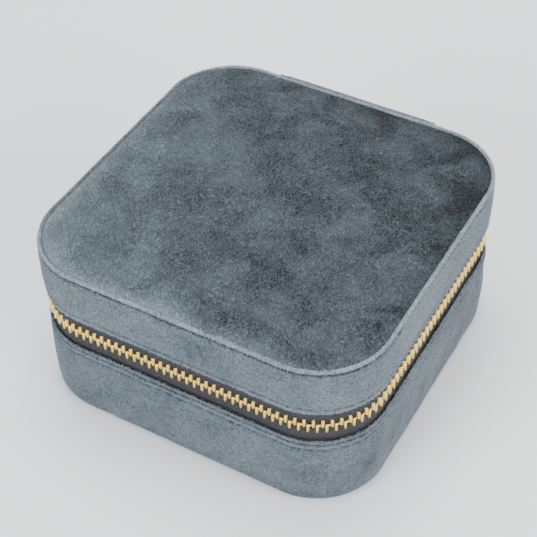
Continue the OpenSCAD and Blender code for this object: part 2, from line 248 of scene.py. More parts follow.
def link(name, vertices, faces, material, body, uv=None, smooth=True):
    """Makes one closed mesh piece in metres, turned outwards, with its material, riding on a
    body."""
    mesh = bpy.data.meshes.new(name)
    mesh.from_pydata((np.asarray(vertices, dtype=float).reshape(-1, 3) * MM).tolist(), [], faces)
    if uv is not None:
        layer = mesh.uv_layers.new(name="cloth")
        layer.data.foreach_set("uv", (np.asarray(uv, dtype=np.float32) * MM).ravel())
    mesh.polygons.foreach_set("use_smooth", np.full(len(mesh.polygons), smooth))
    mesh.materials.append(material)
    mesh.update()
    solid = bmesh.new()
    solid.from_mesh(mesh)
    if solid.calc_volume(signed=True) < 0:
        mesh.flip_normals()
    solid.free()
    piece = bpy.data.objects.new(name, mesh)
    bpy.context.scene.collection.objects.link(piece)
    if body:
        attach(piece, body)
    return piece


def padded(piece, fill, *nodes):
    """Hides the CAD nodes that a piece stands for."""
    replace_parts(piece, *nodes)
    return piece


def grid_faces(rows, columns, close_rows=False, close_columns=False):
    """Quads of a grid of vertices numbered row by row, with each quad's place in the grid for its UVs."""
    i = np.arange(rows if close_rows else rows - 1)
    j = np.arange(columns if close_columns else columns - 1)
    i, j = (a.ravel() for a in np.meshgrid(i, j, indexing="ij"))
    corner_i = np.stack([i, i + 1, i + 1, i], axis=1)
    corner_j = np.stack([j, j, j + 1, j + 1], axis=1)
    return (corner_i % rows) * columns + corner_j % columns, corner_i, corner_j


def tube(name, points, u, v, material, body, ring=False):
    """A surface on a grid of two parameters: sections, closed along the columns, that follow each other
    along the rows. It is either a ring or has a flat face on its first and last section. u and v are the
    rows' and the columns' places on the cloth, one longer than the grid where it closes."""
    rows, columns = points.shape[:2]
    index, i, j = grid_faces(rows, columns, ring, True)
    faces = index.tolist()
    uv = np.stack([u[i], v[j]], axis=-1).reshape(-1, 2)
    if not ring:
        around = np.arange(columns)
        for row, order in ((0, around[::-1]), (rows - 1, around)):
            faces.append((row * columns + order).tolist())
            uv = np.concatenate([uv, np.stack(np.broadcast_arrays(u[row], v[order]), axis=-1)])
    return link(name, points, faces, material, body, uv)


def joined(parts):
    """One list of vertices and faces from several."""
    vertices, faces, count = [], [], 0
    for points, quads in parts:
        points = np.asarray(points, dtype=float).reshape(-1, 3)
        vertices.append(points)
        faces += [[count + k for k in face] for face in quads]
        count += len(points)
    return np.concatenate(vertices), faces


def stacked(rings):
    """A closed body lofted through rings of equal point counts, with a flat face on the first and the
    last."""
    rings = np.asarray(rings, dtype=float)
    rows, columns = rings.shape[:2]
    index, _, _ = grid_faces(rows, columns, False, True)
    ends = [list(range(columns))[::-1], list(range((rows - 1) * columns, rows * columns))]
    return rings.reshape(-1, 3), index.tolist() + ends


def copies(faces, size, count):
    """The faces of count copies of a body of size points."""
    return [[k * size + v for v in face] for k in range(count) for face in faces]


def repeated(name, shape, distance, depth, height, material, body, turn=1, path_in=0.0):
    """Copies of a body, given along, out and up, at distances along the outline, counted at path_in. Each
    is turned to the outline's direction and stands at a depth and a height, on its head if turn is -1."""
    vertices, faces = shape
    along, out, up = vertices.T[..., None]
    centre, normal = on_outline(distance, path_in)
    ahead = np.stack([-normal[:, 1], normal[:, 0]], axis=-1)
    place = centre + (CORNER_R - depth) * normal
    flat = place[:, None] + ahead[:, None] * along + normal[:, None] * out
    points = at(flat[..., 0], flat[..., 1], height + turn * up[:, 0])
    return link(name, points, copies(faces, len(vertices), len(distance)), material, body)


# ---- finishes

class Finish:
    """A material built from nodes. Coordinates are in millimetres once scaled by 1 / MM."""

    def __init__(self, name, **settings):
        self.material = bpy.data.materials.new(name)
        self.material.use_nodes = True
        self.tree = self.material.node_tree
        self.shader = self.tree.nodes["Principled BSDF"]
        for socket, value in settings.items():
            self.shader.inputs[socket.replace("_", " ")].default_value = value

    def node(self, kind, inputs, output=0, **properties):
        made = self.tree.nodes.new("ShaderNode" + kind)
        for key, value in properties.items():
            setattr(made, key, value)
        for key, value in inputs.items():
            if isinstance(value, bpy.types.NodeSocket):
                self.tree.links.new(value, made.inputs[key])
            else:
                made.inputs[key].default_value = value
        return made.outputs[output]

    def cloth(self):
        """The cloth's own UV map in millimetres."""
        return self.node("Mapping", {"Vector": self.node("UVMap", {}, uv_map="cloth"), "Scale": (1 / MM, 1 / MM, 1)})

    def place(self):
        """The piece's own coordinates in millimetres."""
        here = self.tree.nodes.new("ShaderNodeTexCoord").outputs["Object"]
        return self.node("VectorMath", {0: here, "Scale": 1 / MM}, operation="SCALE")

    def math(self, operation, a, b=0.0):
        return self.node("Math", {0: a, 1: b}, operation=operation)

    def weighed(self, *terms):
        """The sum of values, each times its share."""
        total = None
        for value, share in terms:
            part = self.math("MULTIPLY", value, share)
            total = part if total is None else self.math("ADD", total, part)
        return total

    def lift(self):
        """The piece's painted light and shade, with some nap marks, read from its attribute."""
        return self.node("Attribute", {}, 2, attribute_name="painted_light_and_nap")

    def noise(self, vector, scale, detail=2.0, roughness=0.5, distortion=0.0, colour=False):
        return self.node("TexNoise", {"Vector": vector, "Scale": scale, "Detail": detail,
                                      "Roughness": roughness, "Distortion": distortion}, 1 if colour else 0)

    def sway(self, vector, scale, reach):
        """The vector shifted by up to about reach by a slow noise."""
        drift = self.noise(vector, scale, 2.0, colour=True)
        centred = self.node("VectorMath", {0: drift, 1: (0.5, 0.5, 0.5)}, operation="SUBTRACT")
        shift = self.node("VectorMath", {0: centred, "Scale": reach * 2}, operation="SCALE")
        return self.node("VectorMath", {0: vector, 1: shift}, operation="ADD")

    def levels(self, value, low, high, out_low=0.0, out_high=1.0):
        return self.node("MapRange", {"Value": value, "From Min": low, "From Max": high,
                                      "To Min": out_low, "To Max": out_high}, interpolation_type="SMOOTHSTEP")

    def blend(self, factor, first, second):
        mix = self.tree.nodes.new("ShaderNodeMix")
        mix.data_type = "RGBA"
        for index, value in ((0, factor), (6, first), (7, second)):
            if isinstance(value, bpy.types.NodeSocket):
                self.tree.links.new(value, mix.inputs[index])
            else:
                mix.inputs[index].default_value = value
        return mix.outputs[2]

    def colour(self, value):
        self.tree.links.new(value, self.shader.inputs["Base Color"])

    def gloss(self, value):
        self.tree.links.new(value, self.shader.inputs["Roughness"])

    def bump(self, height, distance, strength=1.0):
        """Bump whose height of 0 to 1 stands for a distance in millimetres."""
        normal = self.node("Bump", {"Height": height, "Distance": distance * MM, "Strength": strength})
        self.tree.links.new(normal, self.shader.inputs["Normal"])


def velvet(name, deep, light, grain_size, grain_share, patch_share, mottle_share, patch_size,
           stretch, relief, sheen, fullness=1.0, lie=0.0):
    """Cut-pile velvet. Its shade runs from deep to light by three shares: broad patches where the pile was
    brushed another way, smaller mottling inside them, and the grain of single tufts, a little drawn out
    along the lie. The tufts also stand in relief. Fullness is how far the three go towards light. A piece's
    attribute of painted light and shade, with some nap marks, goes on from there: above 0 it paints light,
    below 0 it paints shade."""
    made = Finish(name, Roughness=0.9, Specular_IOR_Level=0.15, Sheen_Weight=sheen, Sheen_Roughness=0.38,
                  Sheen_Tint=(0.80, 0.90, 1.0, 1.0))
    cloth = made.cloth()
    broad = made.noise(made.sway(cloth, 0.07, 3.0), 1 / patch_size, 5.0, 0.60, 0.5)
    patches = made.levels(broad, 0.36, 0.66)
    mottling = made.levels(made.noise(cloth, 0.40, 3.0, 0.6), 0.32, 0.68)
    turned = made.node("Mapping", {"Vector": made.sway(cloth, 0.10, 2.4), "Rotation": (0, 0, lie),
                                   "Scale": (1 / stretch, stretch, 1)}, vector_type="TEXTURE")
    coarse = made.noise(turned, 0.5 / grain_size, 3.0, 0.72)
    fine = made.noise(turned, 0.97 / grain_size, 2.0, 0.6)
    tufts = made.levels(made.weighed((coarse, 0.55), (fine, 0.45)), 0.40, 0.60)
    shade = made.weighed((patches, patch_share), (tufts, grain_share), (mottling, mottle_share))
    # painted light and shade: the piece's attribute, broken up a little by the tufts, added to the shade
    lift = made.math("MULTIPLY", made.lift(), made.levels(tufts, 0, 1, 0.6, 1.0))
    shade = made.math("ADD", made.math("MULTIPLY", shade, fullness), lift)
    made.colour(made.blend(shade, (*deep, 1), (*light, 1)))
    made.bump(tufts, relief, 0.9)
    return made.material


def tape_cloth(name):
    """Zip tape: a herringbone twill. The twill's slant turns over from stripe to stripe, because the
    distance across is folded back and forth before it is added to the distance along. The piece's attribute
    of painted shade darkens it in the crack at the hem and near the teeth."""
    made = Finish(name, Roughness=0.8, Specular_IOR_Level=0.2, Sheen_Weight=0.1, Sheen_Roughness=0.4,
                  Sheen_Tint=(0.9, 0.92, 1.0, 1.0))
    along, across, _ = (made.node("SeparateXYZ", {0: made.cloth()}, k) for k in range(3))
    slant = made.math("ADD", along, made.math("MULTIPLY", made.math("PINGPONG", across, 0.9), 0.9))
    ribs = made.math("SINE", made.math("MULTIPLY", slant, TAU / 0.78))
    yarn = made.math("SINE", made.math("MULTIPLY", across, TAU / 0.4))
    weave = made.math("ADD", made.weighed((ribs, 0.42), (yarn, 0.20)), 0.5)
    dust = made.levels(made.noise(made.place(), 1.1, 4.0, 0.75), 0.3, 0.7)
    # painted shade from the piece's attribute added to the weave's shade
    shade = made.math("ADD", made.weighed((weave, 0.85), (dust, 0.15)), made.lift())
    made.colour(made.blend(shade, (0.003, 0.003, 0.004, 1), (0.070, 0.067, 0.072, 1)))
    made.bump(weave, 0.45, 1.0)
    return made.material


def gold_metal(name):
    """Pale gold plating: worn a little duller in clouds, with fine rubbing marks."""
    made = Finish(name, Metallic=1.0, Specular_IOR_Level=0.5)
    here = made.place()
    clouds = made.noise(here, 0.45, 3.0, 0.6)
    marks = made.noise(made.node("Mapping", {"Vector": here, "Scale": (1.5, 9, 9)}), 1.2, 4.0, 0.7)
    made.colour(made.blend(clouds, (0.80, 0.55, 0.16, 1), (0.94, 0.72, 0.27, 1)))
    made.gloss(made.levels(made.math("ADD", clouds, made.math("MULTIPLY", marks, 0.4)), 0.3, 1.0, 0.34, 0.50))
    made.bump(marks, 0.02, 0.5)
    return made.material


def sewing_thread(name):
    """Twisted polyester thread: slanting plies along its length."""
    made = Finish(name, Roughness=0.6, Specular_IOR_Level=0.3, Sheen_Weight=0.3, Sheen_Roughness=0.4)
    plies = made.node("TexWave", {"Vector": made.place(), "Scale": 1.1, "Distortion": 1.5, "Detail": 1.0},
                      1, bands_direction="DIAGONAL")
    made.colour(made.blend(plies, (0.010, 0.014, 0.019, 1), (0.055, 0.072, 0.088, 1)))
    made.bump(plies, 0.05, 0.7)
    return made.material


def grey_board(name):
    """Hidden card: two shades mixed by a fine grain that also stands in relief."""
    made = Finish(name, Roughness=0.9, Specular_IOR_Level=0.2)
    grain = made.noise(made.place(), 1 / 0.7, 5.0, 0.65)
    made.colour(made.blend(made.levels(grain, 0.3, 0.7), (0.16, 0.14, 0.12, 1), (0.36, 0.33, 0.28, 1)))
    made.bump(grain, 0.06, 0.7)
    return made.material


def pile_fibres(name):
    """Single fibres of the pile, coloured mostly lighter than the velvet: painted light on the edges they stand on,
    a little different from place to place.
    """
    made = Finish(name, Roughness=0.9, Specular_IOR_Level=0.15, Sheen_Weight=0.2, Sheen_Roughness=0.4)
    shade = made.noise(made.place(), 1.3, 2.0, 0.6)
    # painted light: the fibres' light end is well above the velvet's own light colour
    made.colour(made.blend(made.levels(shade, 0.3, 0.7), (0.120, 0.150, 0.175, 1), (0.520, 0.580, 0.630, 1)))
    return made.material


def silvered_glass(name):
    """Mirror: a near perfect reflection with the faintest film of dust."""
    made = Finish(name, Metallic=1.0, Base_Color=(0.88, 0.90, 0.90, 1), Coat_Weight=0.4, Coat_Roughness=0.01)
    film = made.noise(made.place(), 0.08, 4.0, 0.6)
    made.gloss(made.levels(film, 0.35, 0.8, 0.015, 0.05))
    return made.material


# The top's velvet is the sides' velvet with darker deep and light colours: painted shade for the darker look the top
# has from its angle to the lamps and the camera.
SHADED_TOP_VELVET = velvet("velvet_top", (0.002, 0.003, 0.004), (0.235, 0.290, 0.338), grain_size=0.34,
                    grain_share=0.66, patch_share=0.42, mottle_share=0.14, patch_size=15.0, stretch=1.40,
                    relief=0.60, sheen=0.13, fullness=0.48, lie=0.27)
SIDE_VELVET = velvet("velvet_side", (0.026, 0.037, 0.047), (0.305, 0.365, 0.418), grain_size=0.32,
                     grain_share=0.66, patch_share=0.18, mottle_share=0.16, patch_size=9.0, stretch=1.15,
                     relief=0.30, sheen=0.30, fullness=0.54)
LINING_VELVET = velvet("velvet_lining", (0.085, 0.112, 0.130), (0.215, 0.262, 0.295), grain_size=0.35,
                       grain_share=0.30, patch_share=0.35, mottle_share=0.35, patch_size=12.0, stretch=1.2,
                       relief=0.14, sheen=0.6)
TAPE = tape_cloth("zip_tape_cloth")
GOLD = gold_metal("pale_gold")
THREAD = sewing_thread("slate_thread")
FIBRES = pile_fibres("pile_fibres")
CARD = grey_board("grey_board")
MIRROR = silvered_glass("silvered_glass")


# ---- side bands

def dashes(distance, share=0.76):
    """1 along a stitch and 0 between two, with soft ends."""
    phase = np.abs(np.mod(distance / STITCH_PITCH, 1.0) - 0.5) * 2
    return 1 / (1 + np.exp((phase - share) / 0.045))


def bell(value, middle, width):
    """Gauss' bell round middle."""
    return np.exp(-(((value - middle) / width) ** 2))


def seam(height, level, width, distance, least):
    """A stitch line: a bell across it, times 1 at each stitch and a least share between two."""
    return bell(height, level, width) * (least + (1 - least) * dashes(distance))


def section_normals(section):
    """Unit normals of a closed section of (depth, height) points given clockwise: the tangent turned
    left."""
    tangent = np.roll(section, -1, axis=0) - np.roll(section, 1, axis=0)
    tangent /= np.linalg.norm(tangent, axis=1)[:, None]
    return np.stack([-tangent[:, 1], tangent[:, 0]], axis=1)


def painted_light_and_nap(piece, amount):
    """Writes the painted light and shade, with some nap marks, at each point."""
    layer = piece.data.attributes.new("painted_light_and_nap", "FLOAT", "POINT")
    layer.data.foreach_set("value", amount.ravel().astype(np.float32))


def carried(name, section, relief, material, body, step=0.55, span=None, pile=None):
    """Carries a closed section of (depth, height) points round the whole outline, or over a span of it. The
    relief moves each point out along the section's normal, by the distance along the outline and the
    point's depth and height, and pile gives by the same the painted light and shade there, with some nap marks."""
    first, last = span or (BACK_MIDDLE, BACK_MIDDLE + outline_length())
    distance = np.linspace(first, last, round((last - first) / step) + 1)
    along = (distance if span else distance[:-1])[:, None]
    depth, height = section.T
    out = section_normals(section)
    rise = relief(along, depth, height)
    points = on_wall(along, depth + rise * out[:, 0], height + rise * out[:, 1])
    piece = tube(name, points, distance - first, girth(section), material, body, ring=not span)
    if pile:
        # painted light and shade, with some nap marks, written on the piece
        painted_light_and_nap(piece, np.broadcast_to(pile(along, height), points.shape[:2]))
    return piece


HEM_ROUND = 0.46
HEM_IN = 1.0
BASE_HEM_IN = 0.74
LID_HEM_STITCH = LID_HEM + 1.7
RIM_STITCH = TOP - 1.12
BASE_HEM_STITCH = BASE_HEM - 2.9
BASE_EDGE_STITCH = BASE_HEM - 0.85
SEAM_IN = 1.05
# How far each row of stitches is shifted back along the outline.
RIM_SHIFT = 1.1
BASE_HEM_SHIFT = 0.6
BASE_EDGE_SHIFT = 1.9


def outer_face(depth, limit):
    """1 on the band's outer side and 0 on the side that is turned to the card."""
    return (depth < limit).astype(float)


def lid_relief(distance, depth, height):
    """Foam bulge between the two stitch lines, the sunk stitch lines, the puckers of the rolled rim and
    hem, and soft unevenness."""
    up = (height - LID_HEM_STITCH) / (RIM_STITCH - LID_HEM_STITCH)
    rise = 0.30 * np.sin(np.pi * np.clip(up, 0, 1)) ** 0.7
    rise = rise - 0.36 * seam(height, LID_HEM_STITCH, 0.24, distance, 0.30)
    rise = rise - 0.60 * seam(height, RIM_STITCH, 0.27, distance + RIM_SHIFT, 0.45)
    rise = rise + 0.03 * bell(height, TOP - 0.4, 0.6) * np.cos(TAU * (distance + RIM_SHIFT) / STITCH_PITCH)
    rise = rise + 0.05 * bell(height, TOP - 0.3, 0.8) * smooth_noise(distance, 0, 3, size=13.0)
    rise = rise + 0.09 * smooth_noise(distance, height, 5, size=11.0)
    return rise * outer_face(depth, SEAM_IN - 0.05)


def brush_marks(distance, height, middle, count, seed):
    """Short upright smears where the pile was brushed against its lie: bells along the outline that lean
    and fade out above and below, at seeded places."""
    draw = np.random.default_rng(seed)
    total = 0
    for _ in range(count):
        place = BACK_MIDDLE + draw.uniform(0, outline_length())
        level, lean = middle + draw.uniform(-3, 3), draw.uniform(-0.5, 0.5)
        width, reach, depth = draw.uniform(0.6, 2.2), draw.uniform(1.5, 4.5), draw.uniform(0.3, 1.0)
        rise = height - level
        total = total + depth * bell(distance, place + lean * rise, width) * bell(rise, 0, reach)
    return total


def lid_painted_light_and_nap(distance, height):
    """Painted light on the rolled rim, except on the left side, where the rim is painted in shade, and faint
    painted light on the hem; painted shade in the stitch lines."""
    left = 1 / (1 + np.exp(-(distance + 12) / 4)) / (1 + np.exp((distance - 70) / 4))
    lift = 0.62 * bell(height, TOP - 0.05, 0.55) * (1 + 0.25 * smooth_noise(distance, 0, 6, size=15.0))
    lift = lift * (1 - 1.25 * left) - 0.60 * seam(height, RIM_STITCH, 0.26, distance + RIM_SHIFT, 0.45)
    lift = lift - 0.34 * seam(height, LID_HEM_STITCH, 0.22, distance, 0.2)
    lift = lift + 0.15 * bell(height, LID_HEM + 0.25, 0.55)
    lift = lift - 0.17 * brush_marks(distance, height, 43.5, 30, 17)
    # the whole lid band is painted a little lighter than the base band: painted light
    return lift + 0.05 + 0.07 * smooth_noise(distance, height * 0.6, 7, size=26.0)


def base_painted_light_and_nap(distance, height):
    """Painted light on the hem's edge and lip, painted shade in the two stitch lines, and darker towards the foot.
    """
    lip = (BASE_EDGE_STITCH + BASE_HEM_STITCH) / 2
    lift = 0.16 * bell(height, BASE_HEM - 0.1, 0.4) + 0.12 * bell(height, lip, 0.8)
    lift = lift - 0.45 * seam(height, BASE_EDGE_STITCH, 0.24, distance + BASE_EDGE_SHIFT, 0.3)
    lift = lift - 0.26 * seam(height, BASE_HEM_STITCH, 0.30, distance + BASE_HEM_SHIFT, 0.2)
    lift = lift - 0.10 * brush_marks(distance, height, 11.0, 32, 18) - 0.08 * bell(height, 0, 3.0)
    # the whole base band is painted a little darker than the lid band: painted shade
    return lift - 0.05 + 0.06 * smooth_noise(distance, height * 0.6, 9, size=26.0)


def base_relief(distance, depth, height):
    """Foam bulge below the stitch line, the lip above it, the two sunk stitch lines and soft unevenness."""
    rise = 0.42 * np.sin(np.pi * np.clip(height / BASE_HEM_STITCH, 0, 1)) ** 0.8
    rise = rise + 0.20 * bell(height, (BASE_HEM + BASE_HEM_STITCH) / 2 - 0.2, 1.0)
    rise = rise - 0.30 * seam(height, BASE_HEM_STITCH, 0.30, distance + BASE_HEM_SHIFT, 0.35)
    rise = rise - 0.42 * seam(height, BASE_EDGE_STITCH, 0.26, distance + BASE_EDGE_SHIFT, 0.40)
    rise = rise + 0.14 * smooth_noise(distance, height, 8, size=12.0) * np.clip(height / 3, 0, 1)
    return rise * outer_face(depth, 0.6)


def coarse_inside(section, outer):
    """The section with only every third point kept on its hidden side."""
    return section[(section[:, 0] < outer) | (np.arange(len(section)) % 3 == 0)]


lid_section = rounded(
    [(HEM_IN, 40.5), (HEM_IN, LID_HEM), (0, LID_HEM), (0, TOP), (SEAM_IN, TOP), (SEAM_IN, TOP - 1.3),
     (HEM_IN - 0.1, TOP - 1.3)], [0, HEM_ROUND, HEM_ROUND, 0.50, 0.50, 0.02, 0.02], 0.21, closed=True)
lid_section = coarse_inside(lid_section, SEAM_IN - 0.1)
base_section = rounded(
    [(BASE_HEM_IN, BASE_HEM), (BASE_HEM_IN, BASE_HEM - 3), (HEM_IN, BASE_HEM - 5), (HEM_IN, 1.9), (2.2, 0.95),
     (2.2, 0), (0, 0), (0, BASE_HEM)], [0.34, 0.5, 0.5, 0.3, 0.2, 0.25, 2.3, 0.38], 0.26, closed=True)
base_section = coarse_inside(base_section, 0.6)

lid_band = carried("lid_velvet_side", lid_section, lid_relief, SIDE_VELVET, "lid", pile=lid_painted_light_and_nap)
padded(lid_band, 0.4, "lid_velvet_band", "lid_foam_wrap")
base_band = carried("base_velvet_side", base_section, base_relief, SIDE_VELVET, "base", pile=base_painted_light_and_nap)
padded(base_band, 0.4, "base_velvet_band", "base_foam_wrap")


# ---- zip tapes and teeth

TAPE_WIDE = 10.1
TAPE_OUT, TAPE_IN = 0.95, 1.45
HINGE_HALF = 22.0
TAPE_SPAN = (BACK_MIDDLE + HINGE_HALF, BACK_MIDDLE + outline_length() - HINGE_HALF)


def zip_tape(body, edge, turn, hem, crack, between):
    """One tape from its corded edge to where it is sewn in under the velvet. The edge swells where the
    teeth grip it, and the tape waves a little between its seams. It has painted shade: darkest in the crack
    at the hem, and a little darker between the teeth."""
    def relief(distance, depth, height):
        return 0.16 * bell(height, edge, 0.55) + 0.05 * smooth_noise(distance, height, 21, size=8.0)

    # painted shade: the shadow in the crack at the hem and the teeth's shade at the corded edge
    def shade(distance, height):
        return -crack * bell(height, hem, 0.85) - between * bell(height, edge, 1.1)

    low, high = sorted((edge, edge + turn * TAPE_WIDE))
    section = boxed(TAPE_IN, TAPE_OUT, low, high, [0.24] * 4, 0.3)
    tape = carried(body + "_zip_tape_weave", section, relief, TAPE, body, 0.9, TAPE_SPAN, shade)
    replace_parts(tape, body + "_zip_tape")


# the last two numbers are the painted shade in the crack at the hem and near the teeth
zip_tape("base", cad("base_zip_tape")[1][2], -1, BASE_HEM, 0.75, 0.10)
zip_tape("lid", cad("lid_zip_tape")[0][2], 1, LID_HEM - 0.3, 0.50, 0.32)

TEETH = 117
LID_SHIFT = TOOTH_PITCH / 2 + 0.18
TOOTH_HIGH = 2.7


def tooth_ring(along, out, height):
    """Ten points round a tooth: an ellipse of the given half sizes pushed towards a rectangle."""
    x, y = superellipse((np.arange(10) + 0.5) * TAU / 10, 3.2)
    return at(along * x, out * y, height)


def tooth_shape(nose):
    """One tooth standing on its foot, as a body lofted through six rings, and where asked the thin nose
    beside its head that the next tooth hooks over."""
    sizes = [(0.24, 0.70, 0.0), (0.40, 0.94, 0.16), (0.425, 1.0, 1.2), (0.425, 1.0, 2.2), (0.37, 0.9, 2.54),
             (0.20, 0.62, TOOTH_HIGH)]
    parts = [stacked([tooth_ring(*size) for size in sizes])]
    if nose:
        beam = [[(a, b, 2.2 + c) for b, c in ((-0.6, -0.20), (0.6, -0.20), (0.6, 0.20), (-0.6, 0.20))]
                for a in (0.3, 0.86)]
        parts.append(stacked(beam))
    return joined(parts)


for body, nose, low, turn, shift in (("base", True, TEETH_LOW, 1, 0.0),
                                     ("lid", False, TEETH_HIGH, -1, LID_SHIFT)):
    shape = tooth_shape(nose)
    for end, numbers in (("", np.arange(LEFT_TEETH, TEETH)), ("_left", np.arange(LEFT_TEETH))):
        distance = HALF_D - CORNER_R - FIRST_TOOTH_Y + shift + TOOTH_PITCH * numbers
        row = repeated(body + "_gold_teeth" + end, shape, distance, TEETH_IN, low, GOLD, body, turn, TEETH_IN)
        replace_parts(row, body + "_zip_teeth" + end)


# ---- padded panels

def square_to_outline(count, depth):
    """A square grid drawn over the inside of the outline: the grid's rings are scaled copies of the
    outline, with a point's place on its ring kept in proportion to the outline's length."""
    even = np.linspace(-1, 1, count)
    even = even * (1.22 - 0.22 * even ** 2)
    gx, gy = np.meshgrid(even, even, indexing="ij")
    ring = np.maximum(np.abs(gx), np.abs(gy))
    wide = np.abs(gx) >= np.abs(gy)
    share = np.where(wide, gy, gx) / np.maximum(ring, 1e-9)
    radius = CORNER_R - depth
    run = HALF_W - CORNER_R
    length = np.abs(share) * (run + radius * math.pi / 4)
    angle = np.maximum(length - run, 0) / radius
    far = run + radius * np.cos(angle)
    near = np.sign(share) * (np.minimum(length, run) + radius * np.sin(angle))
    x = np.where(wide, np.sign(gx) * far, near) * ring
    y = np.where(wide, near, np.sign(gy) * far) * ring
    return x, y


def pad(name, face, back, material, body):
    """A closed pad between two grids of points that share their border: the cushioned face and the back.
    Its cloth is laid out as seen from above. Returned with a mark on the face's border points."""
    rows, columns = face.shape[:2]
    index, _, _ = grid_faces(rows, columns)
    border = np.zeros((rows, columns), bool)
    border[[0, -1]], border[:, [0, -1]] = True, True
    border = border.ravel()
    rename = np.where(border, np.arange(rows * columns), rows * columns + np.cumsum(~border) - 1)
    vertices = np.concatenate([face.reshape(-1, 3), back.reshape(-1, 3)[~border]])
    faces = np.concatenate([index, rename[index][:, ::-1]])
    cloth = face.reshape(-1, 3)[np.concatenate([index, index[:, ::-1]]), :2].reshape(-1, 2)
    return link(name, vertices, faces.tolist(), material, body, cloth), border


def coordinates(mesh):
    """A mesh's points as an array, in millimetres."""
    flat = np.empty(len(mesh.vertices) * 3)
    mesh.vertices.foreach_get("co", flat)
    return flat.reshape(-1, 3) / MM


def put(piece, points):
    """Writes a mesh's points, given in millimetres."""
    piece.data.vertices.foreach_set("co", (np.asarray(points) * MM).ravel())
    piece.data.update()


SIM_SCALE = 12.0
SIM_FRAMES = 20


def swell(piece, held, rise):
    """Cloth simulation of a stuffed cover: the mesh, enlarged to a size at which the solver works well, is
    blown up from inside with gravity off, while the held points stay. The movement is then scaled so that
    the furthest point moves by rise, and rounded off so that the middle stays even."""
    start = coordinates(piece.data)
    put(piece, start * SIM_SCALE)
    group = piece.vertex_groups.new(name="held")
    group.add(np.flatnonzero(held).tolist(), 1.0, "REPLACE")
    modifier = piece.modifiers.new("Cloth", "CLOTH")
    cloth = modifier.settings
    cloth.quality = 5
    cloth.mass = 0.3
    cloth.tension_stiffness = cloth.compression_stiffness = 15
    cloth.bending_stiffness = 0.6
    cloth.use_pressure = True
    cloth.uniform_pressure_force = 4.0
    cloth.vertex_group_mass = "held"
    cloth.effector_weights.gravity = 0
    modifier.collision_settings.use_collision = False
    modifier.point_cache.frame_start, modifier.point_cache.frame_end = 1, SIM_FRAMES
    scene = bpy.context.scene
    for number in range(1, SIM_FRAMES + 1):
        scene.frame_set(number)
    solved = piece.evaluated_get(bpy.context.evaluated_depsgraph_get())
    move = coordinates(solved.to_mesh()) / SIM_SCALE - start
    solved.to_mesh_clear()
    piece.modifiers.remove(modifier)
    piece.vertex_groups.remove(group)
    reach = np.linalg.norm(move, axis=1)
    share = reach / max(float(reach.max()), 1e-9)
    wanted = rise * (1 - np.exp(-2.0 * share)) / (1 - math.exp(-2.0))
    print(piece.name, "swelled by", round(float(reach.max()), 3), "mm, scaled to", rise)
    put(piece, start + move * (wanted / np.maximum(reach, 1e-9))[:, None])
    scene.frame_set(1)


def subdivided(piece):
    modifier = piece.modifiers.new("Subdivision", "SUBSURF")
    modifier.levels = modifier.render_levels = 1


PANEL_IN = 0.86
PANEL_EDGE = 0.56
PANEL_LOW = cad("lid_top_panel")[0][2]
BOTTOM_IN = 2.25
BOTTOM_SEAM = 0.55


def top_panel():
    """The lid's padded top. Its border lies in the seam; from there the cloth rises over the foam in a
    quarter round and is drawn in a little at each stitch; the simulation then crowns it. Light is painted
    along the front left edges and on the left, and shade along the back right ones and towards the back right."""
    x, y = square_to_outline(91, PANEL_IN)
    edge = edge_distance(x, y, PANEL_IN)
    travel = edge_travel(x, y)
    rise = PANEL_EDGE - 0.10 * bell(edge, 0.9, 0.7) + 0.40 * (1 - np.exp(-np.maximum(edge - 0.6, 0) / 2.2))
    rise = rise + 0.35 * (1 - np.exp(-edge / 9))
    rise = rise - 0.05 * np.cos(TAU * (travel + RIM_SHIFT) / STITCH_PITCH) * bell(edge, 0.9, 0.9)
    rise = rise + 0.09 * smooth_noise(x, y, 31, size=19.0) * np.clip(edge / 4, 0, 1)
    rise = rise + 0.05 * smooth_noise(travel, edge * 0.4, 32, size=7.0) * bell(edge, 2.0, 2.2)
    face = at(x, y, PANEL_LOW + rise)
    back = at(x, y, PANEL_LOW + PANEL_EDGE * (1 - np.clip(edge / 0.6, 0, 1)))
    piece, border = pad("lid_velvet_top", face, back, SHADED_TOP_VELVET, "lid")
    near = np.maximum(edge, 0)
    reach = 3.2 + 1.3 * smooth_noise(travel, 0, 33, size=24.0)
    # painted light along every edge and more on the front left, painted shade along the back right edges and towards
    # the back right, and the top painted a little darker overall
    to_front_left = np.clip(0.30 - 0.60 * (y + 0.65 * x) / HALF_W, 0, 1)
    lift = 0.85 * np.exp(-near / reach) * to_front_left + 0.16 * np.exp(-near / 0.7) - 0.058
    lift = lift - 0.10 * np.clip((y + 1.1 * x) / HALF_W - 0.6, 0, 1)
    lift = lift - 0.21 * np.exp(-near / 4.2) * np.clip(0.4 + (x + 0.45 * y) / HALF_W, 0, 1)
    lift = lift + 0.20 * np.clip(-(0.6 * y + 1.1 * x) / HALF_W, 0, 1)
    hidden = len(piece.data.vertices) - x.size
    painted_light_and_nap(piece, np.pad(lift.ravel(), (0, hidden)))
    swell(piece, np.pad(border | (edge.ravel() < 0.4), (0, hidden), constant_values=True), 0.8)
    padded(piece, 0.6, "lid_top_panel", "lid_top_foam")
    subdivided(piece)


